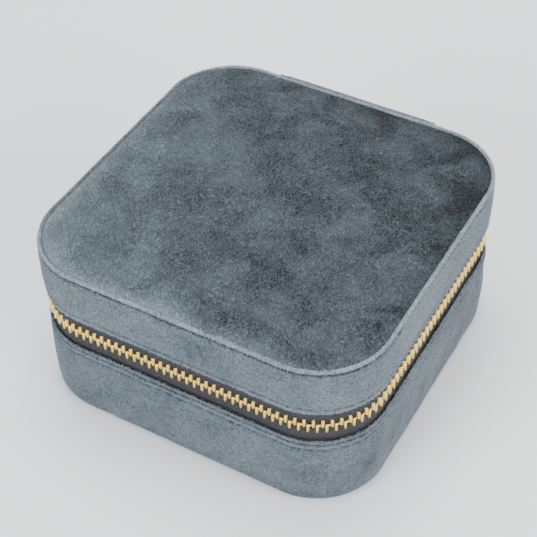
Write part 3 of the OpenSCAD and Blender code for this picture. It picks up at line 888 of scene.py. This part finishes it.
def bottom_panel():
    """The velvet under the base: glued on flat, a little raised inside the band's rolled edge."""
    x, y = square_to_outline(61, BOTTOM_IN)
    edge = edge_distance(x, y, BOTTOM_IN)
    drop = 0.42 * (1 - np.exp(-edge / 0.8))
    drop = drop + 0.05 * smooth_noise(x, y, 41, size=22.0) * np.clip(edge / 5, 0, 1)
    face, back = at(x, y, BOTTOM_SEAM - drop), at(x, y, BOTTOM_SEAM + 0.33 * np.clip(edge, 0, 1))
    piece, _ = pad("base_velvet_bottom", face, back, SIDE_VELVET, "base")
    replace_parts(piece, "base_bottom_panel")


top_panel()
bottom_panel()


# ---- slider and pull

slider_low, slider_high = cad("slider_body")
SLIDER_Y = (slider_low[1] + slider_high[1]) / 2
SLIDER_LONG = slider_high[1] - slider_low[1]
PLATE_HALF = (slider_high[2] - slider_low[2]) / 2
OUTER_FACE = -50.7
INNER_FACE = -46.9
PLATE_T = 0.7
EYE_LONG, EYE_WIDE = 1.3, 1.55


def gold_piece(name, parts, body, *nodes):
    """One piece of plated metal from several closed bodies."""
    vertices, faces = joined(parts)
    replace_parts(link(name, vertices, faces, GOLD, body), *nodes)


def narrowing(along):
    """The slider's share of its height at a place along it: it narrows from the back, where the rows part,
    to the front."""
    return 0.86 + 0.14 * (along / SLIDER_LONG * 2)


def plate_outline(inset):
    """A slider's plate seen from its side, an egg: an ellipse pushed towards a rectangle, times the
    narrowing."""
    along, high = superellipse(np.arange(56) * TAU / 56, 4)
    along = (SLIDER_LONG / 2 - inset) * along
    return SLIDER_Y + along, ZIP_Z + (PLATE_HALF - inset) * high * narrowing(along)


def plate(first, last):
    """A slider's plate between two places across the zip, with bevelled edges."""
    turn = math.copysign(1, last - first)
    rings = ((0.30, first), (0.04, first + 0.16 * turn), (0.0, (first + last) / 2),
             (0.10, last - 0.14 * turn), (0.40, last))
    return stacked([at(x, *plate_outline(inset)) for inset, x in rings])


def bar(path, across, half_wide, half_thick, count=16):
    """A bar of rounded section swept along a path: each ring is an ellipse pushed towards a rectangle,
    spread along the across direction and the path's own side direction, a little smaller at both ends."""
    ahead = np.gradient(path, axis=0)
    ahead /= np.linalg.norm(ahead, axis=1)[:, None]
    side = np.cross(ahead, across)[:, None]
    wide, thick = superellipse(np.arange(count) * TAU / count, 3.4)
    ring = np.asarray(across) * (half_wide * wide)[:, None] + side * (half_thick * thick)[:, None]
    ring[[0, -1]] *= 0.82
    return stacked(path[:, None] + ring)


def slider():
    """Two plates joined by the wedge at the back, with low flanges that guide the teeth."""
    run = np.linspace(-1, 1, 9) * (SLIDER_LONG / 2 - 1.1)
    narrow = (PLATE_HALF - 0.45) * narrowing(run)
    flanges = [bar(at(face, SLIDER_Y + run, ZIP_Z + side * narrow), (1, 0, 0), 0.34, 0.3, 10)
               for face in (OUTER_FACE + PLATE_T + 0.12, INNER_FACE - PLATE_T - 0.12) for side in (-1, 1)]
    back = SLIDER_Y + SLIDER_LONG / 2
    corners = ((back - 0.35, -0.56), (back - 0.35, 0.56), (back - 2.2, 0.16), (back - 2.2, -0.16))
    wedge = [[(x, y, ZIP_Z + z) for y, z in corners] for x in (OUTER_FACE + 0.3, INNER_FACE - 0.3)]
    parts = [plate(OUTER_FACE + PLATE_T, OUTER_FACE), plate(INNER_FACE - PLATE_T, INNER_FACE), stacked(wedge)]
    gold_piece("zip_slider", parts + flanges, "slider", "slider_body")


def crown():
    """The slider's arched bridge, which holds the pull."""
    low, high = cad("slider_crown")
    reach, foot = low[0] + 0.42, OUTER_FACE + 0.15
    first, last = low[1] + 0.5, high[1] - 0.5
    path = rounded([(first, foot), (first, reach), (last, reach), (last, foot)], [0, 1.25, 1.25, 0], 0.25)
    bridge = bar(at(path[:, 1], path[:, 0], ZIP_Z), (0, 0, 1), 0.78, 0.4)
    gold_piece("slider_bridge", [bridge], "slider", "slider_crown")


def pull():
    """The pull: a flat tab with a rounded end and a soft middle dish, and an eye at its top. The surface
    goes from the eye's edge out to the tab's edge and back under; the eye's bar and the tab's rim are
    rounded."""
    low, high = cad("pull_tab")
    middle, half = (low + high) / 2, (high - low) / 2
    angle = np.arange(96) * TAU / 96
    along, wide = superellipse(angle, 4.5)
    wide = half[2] * (1 - 0.14 * (along + 1) / 2) * wide
    outer = np.stack([middle[1] + half[1] * along, ZIP_Z + wide], axis=-1)
    along, wide = superellipse(angle, 3)
    inner = np.stack([high[1] - 0.85 - EYE_LONG + EYE_LONG * along, ZIP_Z + EYE_WIDE * wide], axis=-1)
    share = np.array([0.0, 0.03, 0.10, 0.30, 0.60, 0.80, 0.86, 0.90, 0.965, 1.0])
    lift = np.array([0.35, 0.80, 1.0, 0.96, 0.90, 0.88, 0.97, 1.0, 0.85, 0.35])
    share = np.concatenate([share, share[::-1]])
    lift = np.concatenate([lift, -lift[::-1]])
    flat = inner[:, None] + (outer - inner)[:, None] * share[:, None]
    points = at(middle[0] - half[0] * lift, flat[..., 0], flat[..., 1])
    index, _, _ = grid_faces(len(angle), len(share), True, True)
    gold_piece("pull_tab_gold", [(points, index.tolist())], "pull", "pull_tab")


def top_stops():
    """Small gold clamps on the tape behind the slider."""
    for body in ("base", "lid"):
        low, high = cad(body + "_zip_stop")
        middle, half = (low + high) / 2, (high - low) / 2
        path = at(middle[0], np.linspace(low[1] + 0.05, high[1] - 0.05, 7), middle[2])
        gold_piece(body + "_gold_stop", [bar(path, (0, 0, 1), half[2], half[0])], body, body + "_zip_stop")


slider()
crown()
pull()
top_stops()


# ---- hinge strips

STRIP_HALF = 25.0
HINGE_STITCH_X = 23.3
HINGE_STITCH_IN = 1.7


def strip_section(thick, puff):
    """A strip's closed section, across and through: rounded edges, and a front that is puffed a little."""
    path = boxed(-STRIP_HALF, STRIP_HALF, thick, 0, [0.25, 0.45, 0.45, 0.25], STRIP_HALF / 30)
    path[:, 1] += np.where(path[:, 1] > thick * 0.6, puff * (1 - (path[:, 0] / STRIP_HALF) ** 6), 0)
    return path


def strip(name, section, y, heights, material):
    """A strip of cloth up the back, on the grid of heights and its section."""
    piece = tube(name, at(section[:, 0], y, heights[:, None]), heights, girth(section), material, None)
    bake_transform(piece)
    return piece


def outer_hinge():
    """The velvet strip down the back that the lid swings on. It is one cloth over both halves, folded in at
    the zip's height, stitched along both edges and both ends. Light is painted round its upper end."""
    low, _ = cad("hinge_strip_lower")
    top = cad("hinge_strip_upper")[1]
    ends = np.array([0.0, 0.12, 0.28])
    heights = np.unique(np.concatenate([np.linspace(low[2] + 0.5, 26.5, 34), np.linspace(26.5, 34.5, 33),
                                        np.linspace(34.5, top[2] - 0.5, 24)]))
    heights = np.concatenate([low[2] + ends, heights, top[2] - ends[::-1]])
    squeeze = np.ones(len(heights))
    squeeze[:3] = squeeze[-3:][::-1] = 0.72, 0.90, 0.98
    section = strip_section(1.02, 0.14)
    across, through = section.T
    z, side = heights[:, None], np.abs(across)
    edge_line = seam(side, HINGE_STITCH_X, 0.32, z, 0.35)
    rise = 0.12 * smooth_noise(across, z, 51, size=11.0) - 0.45 * bell(z, ZIP_Z, 1.1) - 0.30 * edge_line
    for level in (low[2] + HINGE_STITCH_IN, top[2] - HINGE_STITCH_IN):
        rise = rise - 0.30 * seam(z, level, 0.32, across, 0.35) * (side < HINGE_STITCH_X)
    y = low[1] + 0.52 + (through - 0.5) * squeeze[:, None] + rise * np.clip((through - 0.5) / 0.4, 0, 1)
    piece = strip("hinge_velvet", section, y, heights, SIDE_VELVET)
    # painted light round the upper end, where the strip turns away from the lamps, and painted shade in the edge
    # stitch lines
    lift = 0.90 * bell(z, top[2], 1.2) - 0.3 * seam(side, HINGE_STITCH_X, 0.3, z, 0.2)
    painted_light_and_nap(piece, lift + 0.10 * smooth_noise(across, z, 52, size=16.0))
    padded(piece, 0.3, "hinge_strip_lower", "hinge_fold", "hinge_strip_upper")


def inner_hinge():
    """The lining strip inside the back. It hangs slack in a fold towards the room, so that it can reach
    when the lid is open."""
    low = cad("hinge_lining_lower")[0]
    top = cad("hinge_lining_upper")[1]
    heights = np.concatenate([low[2] + np.array([0, 0.15]), np.linspace(low[2] + 0.5, top[2] - 0.5, 44),
                              top[2] - np.array([0.15, 0])])
    section = strip_section(0.48, 0.0)
    z = heights[:, None]
    slack = 1.5 * np.exp(-np.abs((z - ZIP_Z) / 2.1) ** 2.6)
    slack = slack * (1 + 0.12 * smooth_noise(section[:, 0], z, 61, size=16.0))
    y = low[1] + 0.01 + section[:, 1] - slack
    piece = strip("hinge_lining_fold", section, y, heights, LINING_VELVET)
    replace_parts(piece, "hinge_lining_lower", "hinge_lining_upper")


outer_hinge()
inner_hinge()


# ---- inside

ROLL_WIDE, ROLL_LONG = 12.36, 34
WINDOW_HALF, WINDOW_R = 34.0, 7.0


def lining_wall(name, node, body, seed):
    """The padded lining round the room, with rounded edges and soft ripples."""
    low, high = cad(node)
    section = boxed(ROOM_IN - 0.05, LINING_IN, low[2], high[2], [0.6, 0.3, 0.3, 0.5], 0.9)

    def ripples(distance, depth, height):
        return 0.10 * (depth > LINING_IN + 0.6) * smooth_noise(distance, height * 0.5, seed, size=14.0)

    padded(carried(name, section, ripples, LINING_VELVET, body, 1.5), 0.3, node)


def lined_plate(name, node, body, soft, seed, count):
    """A lined board that fills the room: a flat pad whose border is rounded off."""
    low, high = cad(node)
    x, y = square_to_outline(count, ROOM_IN)
    edge = edge_distance(x, y, ROOM_IN)
    middle, half = (low[2] + high[2]) / 2, (high[2] - low[2]) / 2
    cushion = half * np.sqrt(1 - (1 - np.clip(edge / 0.8, 0, 1)) ** 2)
    ripple = soft * smooth_noise(x, y, seed, size=17.0) * np.clip(edge / 4, 0, 1)
    face, back = at(x, y, middle + cushion + ripple), at(x, y, middle - cushion)
    padded(pad(name, face, back, LINING_VELVET, body)[0], 0.2, node)


def ring_rolls():
    """Seven foam rolls under one kind of velvet, side by side, that grip rings between them. Each is lofted
    along its length through straight-sided, round-topped sections, its far end cut to the room's corner."""
    boxes = [cad("ring_roll_%d" % k) for k in range(1, 8)]
    right = max(high[0] for _, high in boxes)
    centres = [(low[1] + high[1]) / 2 for low, high in boxes]
    pitch = (centres[-1] - centres[0]) / 6
    even = np.linspace(0, 1, 25)
    share = (0.35 * (1 - np.cos(even * math.pi)) / 2 + 0.65 * even)[:, None]
    end = 0.86 + 0.14 * np.sqrt(1 - (1 - np.minimum(np.minimum(share, 1 - share) / 0.03, 1)) ** 2)
    for number, (low, high) in enumerate(boxes):
        place = centres[0] + pitch * number
        middle = np.clip(centres[number], place - 0.4, place + 0.4)
        half = min(ROLL_WIDE, high[1] - low[1] - 0.1) / 2
        section = boxed(-half, half, low[2], high[2], [half - 0.2, 1.2, 1.2, half - 0.2], 1.25)
        bend = np.maximum(np.abs(middle + section[:, 0]) - (HALF_D - CORNER_R), 0)
        far = 0.1 - (HALF_W - CORNER_R) - np.sqrt(np.maximum((CORNER_R - ROOM_IN - 0.35) ** 2 - bend ** 2, 0))
        heart = (low[2] + high[2]) / 2
        across = middle + section[:, 0] * end
        points = at(far + (right - far) * share, across, heart + (section[:, 1] - heart) * end)
        piece = tube("ring_roll_velvet_%d" % (number + 1), points, ROLL_LONG * share[:, 0], girth(section),
                     LINING_VELVET, "base")
        swell(piece, coordinates(piece.data)[:, 2] < high[2] - 3.0, 0.45)
        padded(piece, 0.7, "ring_roll_%d" % (number + 1))
        subdivided(piece)


def divider(name, node, along, seed):
    """A card divider wrapped in lining, along X (0) or Y (1): straight sides, a round top, eased ends."""
    low, high = cad(node)
    thin = 1 - along
    half = (high[thin] - low[thin]) / 2
    section = boxed(-half, half, low[2], high[2], [half - 0.02, 0.3, 0.3, half - 0.02], 0.7)
    run = np.concatenate([[0, 0.003], np.linspace(0, 1, 31)[1:-1], [0.997, 1]])
    eased = np.ones((len(run), 1))
    eased[[0, -1]], eased[[1, -2]] = 0.82, 0.95
    place = (low[along] + (high[along] - low[along]) * run)[:, None]
    wave = 0.06 * smooth_noise(place, section[:, 1], seed, size=16.0)
    side = (low[thin] + high[thin]) / 2 + section[:, 0] * eased + wave
    heart = (low[2] + high[2]) / 2
    z = heart + (section[:, 1] - heart) * (0.9 + 0.1 * eased)
    points = at(side, place, z) if along else at(place, side, z)
    piece = tube(name, points, place[:, 0] - low[along], girth(section), LINING_VELVET, "base")
    padded(piece, 0.3, node)


def rounded_square(half, radius, count):
    """Points round a square with rounded corners, evenly by its length, from the middle of its right
    side."""
    run = half - radius
    quarter = radius * math.pi / 2
    travel = np.arange(count) * (8 * run + 4 * quarter) / count + run
    side, rest = np.divmod(travel, 2 * run + quarter)
    slide = np.clip(rest, 0, 2 * run) - run
    turn = np.clip((rest - 2 * run) / radius, 0, math.pi / 2)
    out = side * math.pi / 2
    return heading(out) * run + heading(out + math.pi / 2) * slide[:, None] + heading(out + turn) * radius


def mirror_frame():
    """The padded surround of the mirror: from the window's edge to the room's edge the cloth rises over
    foam in a low half wave, and comes back behind it. Each ring is blended between the window's outline and
    the room's."""
    low, high = cad("mirror_frame")
    window = rounded_square(WINDOW_HALF, WINDOW_R, 240)
    room = rounded_square(HALF_W - ROOM_IN - 0.05, CORNER_R - ROOM_IN - 0.05, 240)
    share = np.array([0, 0.02, 0.06, 0.14, 0.3, 0.5, 0.7, 0.86, 0.94, 0.98, 1.0])
    top = high[2] - 0.62
    front = top - (top - low[2] + 0.25) * np.sqrt(np.sin(math.pi * np.clip(share, 0.012, 0.988)))
    back = top + 0.5 * np.sin(math.pi * share[::-1]) ** 0.25
    share = np.concatenate([share, share[::-1]])
    height = np.concatenate([front, back])
    flat = window[:, None] + (room - window)[:, None] * share[:, None]
    travel = girth(room)
    wave = 0.08 * smooth_noise(travel[:-1, None], share * 11, 71, size=13.0) * (height < top - 0.2)
    points = at(flat[..., 0], flat[..., 1], height + wave)
    v = girth(np.stack([share, share], axis=1)) * 8
    piece = tube("mirror_velvet_frame", points, travel, v, LINING_VELVET, "lid", ring=True)
    padded(piece, 0.5, "mirror_frame")


lining_wall("base_lining_velvet", "base_lining_wall", "base", 81)
lining_wall("lid_lining_velvet", "lid_lining_wall", "lid", 82)
lined_plate("floor_velvet", "base_floor_lining", "base", 0.05, 83, 41)
lined_plate("ceiling_velvet", "lid_ceiling_lining", "lid", 0.0, 84, 31)
ring_rolls()
divider("long_divider_velvet", "long_divider", 1, 91)
divider("front_divider_velvet", "cross_divider_front", 0, 92)
divider("rear_divider_velvet", "cross_divider_rear", 0, 93)
mirror_frame()


# ---- stitches

def stitch_shape():
    """One visible stitch: a low-sided capsule that dips into the cloth at both ends."""
    angle = np.arange(6) * TAU / 6
    rings = []
    for place, size, sink in ((-1, 0.3, -0.30), (-0.8, 0.85, -0.1), (-0.3, 1, 0),
                              (0.3, 1, 0), (0.8, 0.85, -0.1), (1, 0.3, -0.30)):
        out, up = sink + 0.16 * size * np.cos(angle), 0.19 * size * np.sin(angle)
        rings.append(at(place * STITCH_LENGTH / 2, out, up))
    return stacked(rings)


def hinge_stitches(name, level, span, body):
    """Stitches on one half of the hinge strip: up both its edges over a span of heights, and across its end
    at a level. Each row is in step with the sunk line under it."""
    vertices, faces = stitch_shape()
    steps = (np.arange(-20, 40) + 0.5) * STITCH_PITCH
    up = steps[(steps > span[0]) & (steps < span[1])]
    across = steps[np.abs(steps) < HINGE_STITCH_X - 1.2]
    x = np.concatenate([np.full(len(up), -HINGE_STITCH_X), np.full(len(up), HINGE_STITCH_X), across])[:, None]
    z = np.concatenate([up, up, np.full(len(across), level)])[:, None]
    upright = np.repeat([1.0, 0.0], [2 * len(up), len(across)])[:, None]
    along, out, side = vertices.T
    points = at(x + along * (1 - upright) + side * upright, cad("hinge_strip_lower")[1][1] - 0.24 + out,
                z + along * upright + side * (1 - upright))
    link(name, points, copies(faces, len(vertices), len(x)), THREAD, body)


strip_low, strip_high = cad("hinge_strip_lower")[0][2], cad("hinge_strip_upper")[1][2]
hinge_stitches("hinge_stitches_lower", strip_low + HINGE_STITCH_IN, (strip_low + 2.5, ZIP_Z - 4), "base")
hinge_stitches("hinge_stitches_upper", strip_high - HINGE_STITCH_IN, (ZIP_Z + 4, strip_high - 2.5), "lid")
for row, shift, depth, height in (("lid_rim", RIM_SHIFT, 0.50, RIM_STITCH),
                                  ("lid_hem", 0.0, 0.28, LID_HEM_STITCH),
                                  ("base_hem", BASE_HEM_SHIFT, 0.24, BASE_HEM_STITCH),
                                  ("base_edge", BASE_EDGE_SHIFT, 0.28, BASE_EDGE_STITCH)):
    distance = (np.arange(STITCHES) + 0.5) * STITCH_PITCH - shift
    repeated(row + "_stitches", stitch_shape(), distance, depth, height, THREAD, row.split("_")[0])


# ---- pile along the edges

PILE_SUNK, PILE_THICK = 0.08, 0.055


def fuzz(name, body, heart, radius, arc, per_mm, longest, seed):
    """The pile standing out along a rounded edge: thin three-sided spikes whose feet lie on an arc round
    the edge's heart, in the section of depth and height, and which lean at random."""
    draw = np.random.default_rng(seed)
    count = int(outline_length() * per_mm)
    distance = draw.uniform(0, outline_length(), count)
    turn = np.radians(draw.uniform(arc[0], arc[1], count))[:, None]
    length = longest * draw.uniform(0.35, 1.0, count) ** 1.5
    up = np.array([0, 0, 1.0])
    normal = np.pad(on_outline(distance)[1], ((0, 0), (0, 1)))
    out = normal * np.cos(turn) + up * np.sin(turn)
    foot = on_wall(distance, heart[0], heart[1]) + out * (radius - PILE_SUNK)
    lean = out + draw.normal(0, 0.45, (count, 3))
    lean /= np.linalg.norm(lean, axis=1)[:, None]
    first = np.cross(lean, up + 0.01 * normal)
    first /= np.linalg.norm(first, axis=1)[:, None]
    second = np.cross(lean, first)
    points = [foot + PILE_THICK * (first * math.cos(a) + second * math.sin(a)) for a in (0, TAU / 3, 2 * TAU / 3)]
    points = np.stack(points + [foot + lean * (length + PILE_SUNK)[:, None]], axis=1)
    spike = [[0, 1, 3], [1, 2, 3], [2, 0, 3], [0, 2, 1]]
    link(name, points, copies(spike, 4, count), FIBRES, body, smooth=False)


fuzz("lid_rim_pile", "lid", (0.50, TOP - 0.50), 0.50, (-20, 140), 26, 0.62, 101)
fuzz("lid_hem_pile", "lid", (HEM_ROUND, LID_HEM + HEM_ROUND), HEM_ROUND, (-110, 10), 20, 0.55, 102)
fuzz("base_hem_pile", "base", (0.38, BASE_HEM - 0.38), 0.38, (0, 130), 20, 0.50, 103)


# ---- boards and mirror kept as they are

for node, finish in (("base_bottom_board", CARD), ("base_wall_board", CARD), ("lid_top_board", CARD),
                     ("lid_wall_board", CARD), ("mirror_glass", MIRROR)):
    kept = frame["nodes"][node].data.materials
    kept.clear()
    kept.append(finish)


# ---- floor, light and camera

def floor():
    """A wide plain sheet under the case."""
    mesh = bpy.data.meshes.new("floor")
    mesh.from_pydata([(-3, -3, 0), (3, -3, 0), (3, 3, 0), (-3, 3, 0)], [], [[0, 1, 2, 3]])
    made = Finish("pale_floor", Base_Color=(0.92, 0.935, 0.935, 1), Roughness=0.75, Specular_IOR_Level=0.2)
    mesh.materials.append(made.material)
    piece = bpy.data.objects.new("floor", mesh)
    bpy.context.scene.collection.objects.link(piece)


def soft_light(name, place, size, watts, colour):
    """An area light at a place in metres, turned to the case."""
    lamp = bpy.data.lights.new(name, "AREA")
    lamp.shape = "RECTANGLE"
    lamp.size, lamp.size_y = size
    lamp.energy = watts
    lamp.color = colour
    piece = bpy.data.objects.new(name, lamp)
    piece.location = place
    piece.rotation_euler = (Vector((0, 0, 0.03)) - Vector(place)).to_track_quat("-Z", "Y").to_euler()
    bpy.context.scene.collection.objects.link(piece)


def look(azimuth, elevation, roll, distance, target, lens):
    """A camera that looks at a target from an azimuth and elevation in degrees, at a distance, rolled."""
    az, el, turn = (math.radians(a) for a in (azimuth, elevation, roll))
    back = Vector((math.sin(az) * math.cos(el), -math.cos(az) * math.cos(el), math.sin(el)))
    across = Vector((0, 0, 1)).cross(back).normalized()
    up = back.cross(across)
    right = across * math.cos(turn) + up * math.sin(turn)
    above = up * math.cos(turn) - across * math.sin(turn)
    lens_data = bpy.data.cameras.new("camera")
    lens_data.lens, lens_data.sensor_width = lens, 36.0
    lens_data.clip_start = 0.01
    camera = bpy.data.objects.new("camera", lens_data)
    camera.matrix_world = Matrix((right, above, back)).transposed().to_4x4()
    camera.location = Vector(target) + back * distance
    bpy.context.scene.collection.objects.link(camera)
    bpy.context.scene.camera = camera


floor()
world = bpy.data.worlds.new("studio")
world.use_nodes = True
sky = world.node_tree.nodes["Background"].inputs
sky["Color"].default_value = (0.86, 0.93, 1.0, 1)
sky["Strength"].default_value = 0.55
bpy.context.scene.world = world
soft_light("window_right", (0.95, -0.15, 0.42), (0.9, 0.6), 14, (1.0, 0.99, 0.97))
soft_light("front_fill", (-0.45, -1.0, 0.5), (0.8, 0.5), 15.5, (0.93, 0.965, 1.0))
soft_light("overhead", (-0.15, 0.30, 1.1), (0.8, 0.8), 13, (1.0, 1.0, 1.0))
look(azimuth=30.14, elevation=44.64, roll=-1.13, distance=0.3693, target=(-0.00112, -0.00014, 0.025),
     lens=88.34)
